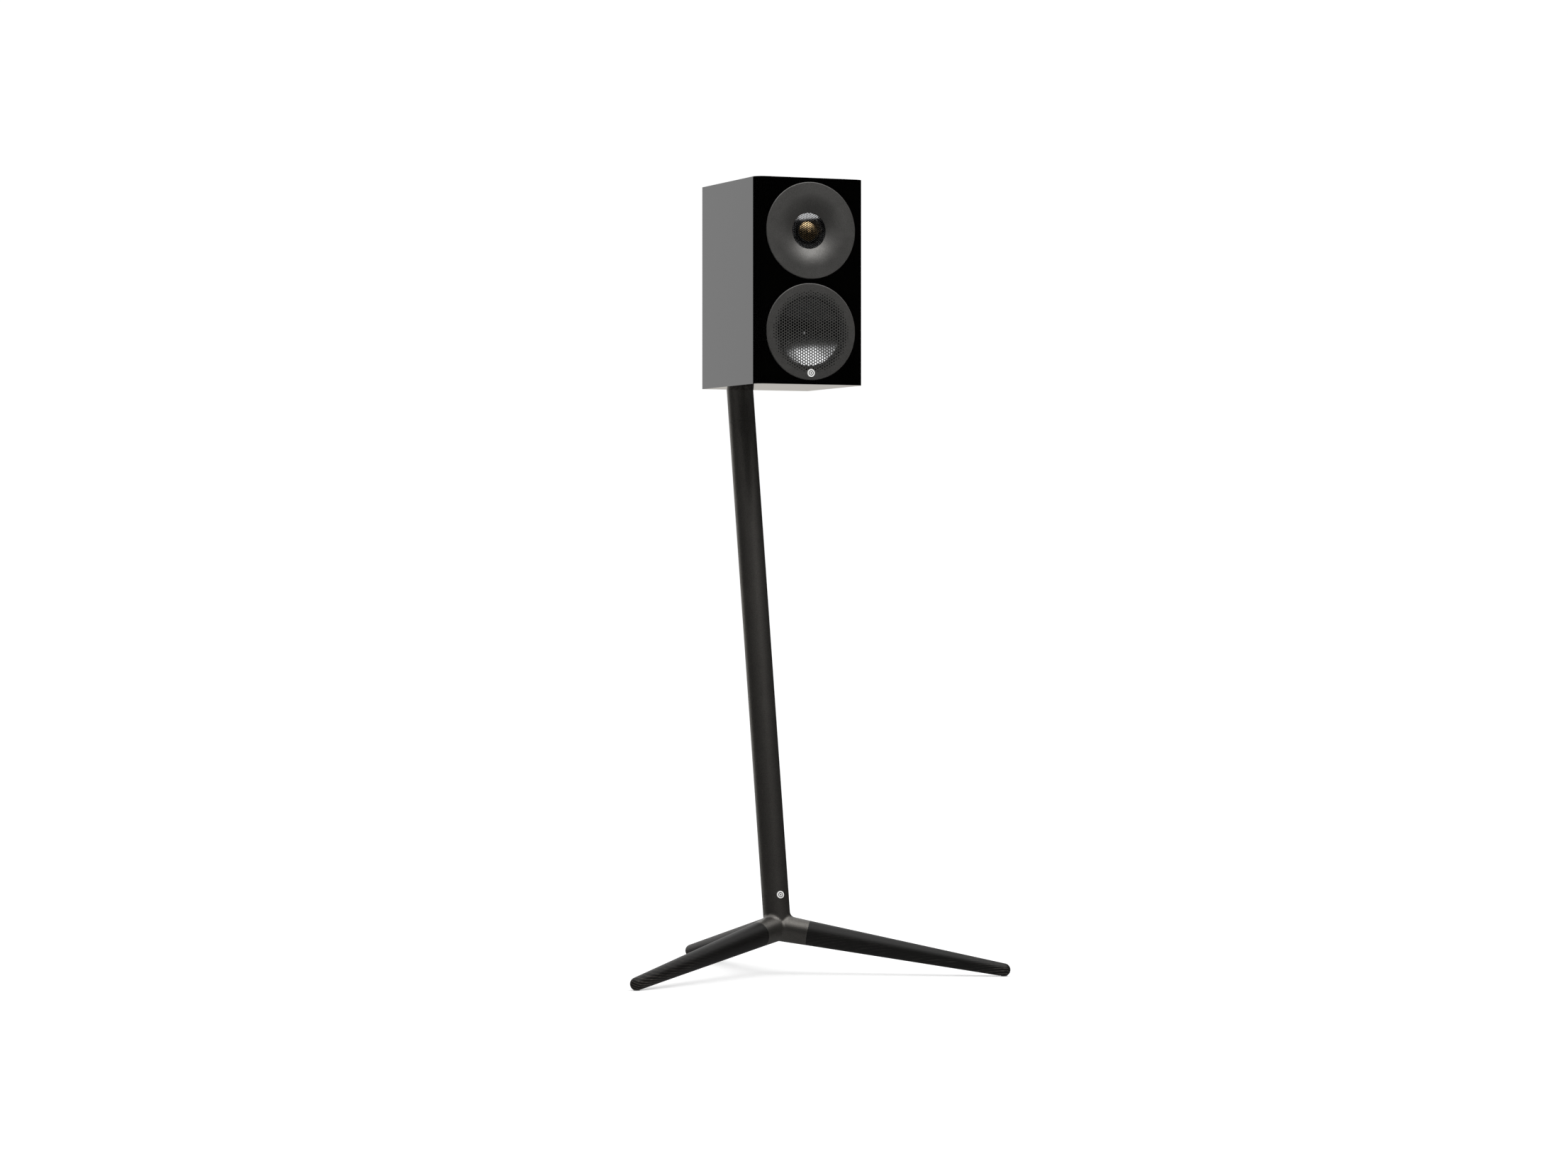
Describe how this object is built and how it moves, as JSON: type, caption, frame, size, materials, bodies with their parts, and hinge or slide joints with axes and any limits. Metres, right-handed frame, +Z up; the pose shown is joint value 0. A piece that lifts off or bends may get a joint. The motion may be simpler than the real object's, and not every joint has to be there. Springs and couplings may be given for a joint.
{
  "type": "bookshelf speaker on floor stand",
  "caption": "Compact two-way loudspeaker with round waveguide and perforated round grille, held at its back by a leaning pole on a three-legged floor stand.",
  "frame": {"origin": "on the floor, under the middle of the outline seen from above", "axes": "+Z up; the listener sits towards -Y; +X is to the right as the listener sees the baffle"},
  "size_m": [0.5188, 0.4516, 1.01],
  "materials": {
    "cabinet_lacquer": "high-gloss black lacquer over fibreboard",
    "rear_paint": "satin black paint over fibreboard",
    "raw_board": "bare fibreboard",
    "wadding": "loose polyester wadding",
    "driver_coat": "fine-textured satin charcoal coat",
    "mesh_black": "black perforated steel",
    "dome_gold": "gold-coloured metal dome",
    "black_rubber": "matt black rubber",
    "spider_cloth": "resin-dipped woven cloth",
    "cone_metal": "satin aluminium",
    "coil_copper": "enamelled copper winding",
    "basket_metal": "black die-cast frame",
    "motor_steel": "zinc-plated steel",
    "ferrite": "grey-black ferrite",
    "black_plastic": "moulded black plastic",
    "terminal_metal": "gold-plated brass",
    "knob_red": "clear red plastic",
    "knob_black": "black plastic",
    "screw_black": "black oxide steel",
    "badge_white": "white enamel",
    "board_green": "green circuit board",
    "capacitor_film": "film-wrapped capacitor",
    "resistor_ceramic": "cement resistor",
    "wire_insulation": "stranded wire insulation",
    "stand_coat": "fine-textured black powder coat",
    "leg_wood": "black-stained open-grain ash"
  },
  "bodies": {
    "speaker_and_stand": {"front_baffle": "cabinet_lacquer", "left_side_panel": "cabinet_lacquer", "right_side_panel": "cabinet_lacquer", "top_panel": "cabinet_lacquer", "bottom_panel": "cabinet_lacquer", "rear_panel": "rear_paint", "window_brace": "raw_board", "damping_pads": "wadding", "tweeter_waveguide": "driver_coat", "tweeter_mesh": "mesh_black", "driver_gaskets": "black_rubber", "foot_pads": "black_rubber", "crossover_inductors": "coil_copper", "woofer_basket": "basket_metal", "woofer_top_plate": "motor_steel", "woofer_back_plate": "motor_steel", "tweeter_top_plate": "motor_steel", "tweeter_back_plate": "motor_steel", "bracket_inserts": "motor_steel", "leg_studs": "motor_steel", "grille_magnets": "motor_steel", "woofer_magnet": "ferrite", "tweeter_magnet": "ferrite", "tweeter_rear_cup": "black_plastic", "port_tube": "black_plastic", "terminal_plate": "black_plastic", "terminal_collars": "black_plastic", "crossover_standoffs": "black_plastic", "terminal_posts": "terminal_metal", "terminal_nuts": "terminal_metal", "waveguide_screws": "screw_black", "woofer_screws": "screw_black", "terminal_screws": "screw_black", "bracket_screws": "screw_black", "pole_set_screws": "screw_black", "hub_badge": "badge_white", "crossover_board": "board_green", "crossover_capacitors": "capacitor_film", "crossover_resistors": "resistor_ceramic", "internal_wires": "wire_insulation", "stand_hub": "stand_coat", "pole_tube": "stand_coat", "pole_head": "stand_coat", "leg_front_left": "leg_wood", "leg_front_right": "leg_wood", "leg_rear": "leg_wood"},
    "grille": {"woofer_grille": "driver_coat", "grille_badge": "badge_white"},
    "woofer_moving": {"woofer_cone": "cone_metal", "woofer_voice_coil": "coil_copper", "woofer_surround": "black_rubber", "woofer_spider": "spider_cloth"},
    "tweeter_moving": {"tweeter_dome": "dome_gold", "tweeter_voice_coil": "coil_copper", "tweeter_surround": "black_rubber"},
    "washer_positive": {"clamp_washer_positive": "terminal_metal"},
    "knob_positive": {"knob_positive": "knob_red"},
    "washer_negative": {"clamp_washer_negative": "terminal_metal"},
    "knob_negative": {"knob_negative": "knob_black"}
  },
  "joints": [
    {"name": "grille_pull_off", "type": "slide", "parent": "speaker_and_stand", "child": "grille", "axis": [0, -1, 0], "range_m": [0, 0.05]},
    {"name": "woofer_excursion", "type": "slide", "parent": "speaker_and_stand", "child": "woofer_moving", "axis": [0, -1, 0], "range_m": [-0.002, 0.002], "stiffness_N_per_m": 600, "deforming": ["woofer_surround", "woofer_spider"]},
    {"name": "tweeter_excursion", "type": "slide", "parent": "speaker_and_stand", "child": "tweeter_moving", "axis": [0, -1, 0], "range_m": [-0.0003, 0.0003], "stiffness_N_per_m": 60, "deforming": ["tweeter_surround"]},
    {"name": "positive_clamp_slide", "type": "slide", "parent": "speaker_and_stand", "child": "washer_positive", "axis": [0, 1, 0], "range_m": [0, 0.004]},
    {"name": "positive_knob_turn", "type": "hinge", "parent": "washer_positive", "child": "knob_positive", "pos_m": [0.0095, 0.01245, 0.9], "axis": [0, 1, 0], "range_deg": [0, 1440]},
    {"name": "negative_clamp_slide", "type": "slide", "parent": "speaker_and_stand", "child": "washer_negative", "axis": [0, 1, 0], "range_m": [0, 0.004]},
    {"name": "negative_knob_turn", "type": "hinge", "parent": "washer_negative", "child": "knob_negative", "pos_m": [-0.0095, 0.01245, 0.9], "axis": [0, 1, 0], "range_deg": [0, 1440]}
  ],
  "couplings": [
    {"joint": "positive_knob_turn", "follows": "positive_clamp_slide", "rad_per_m": 6283},
    {"joint": "negative_knob_turn", "follows": "negative_clamp_slide", "rad_per_m": 6283}
  ]
}
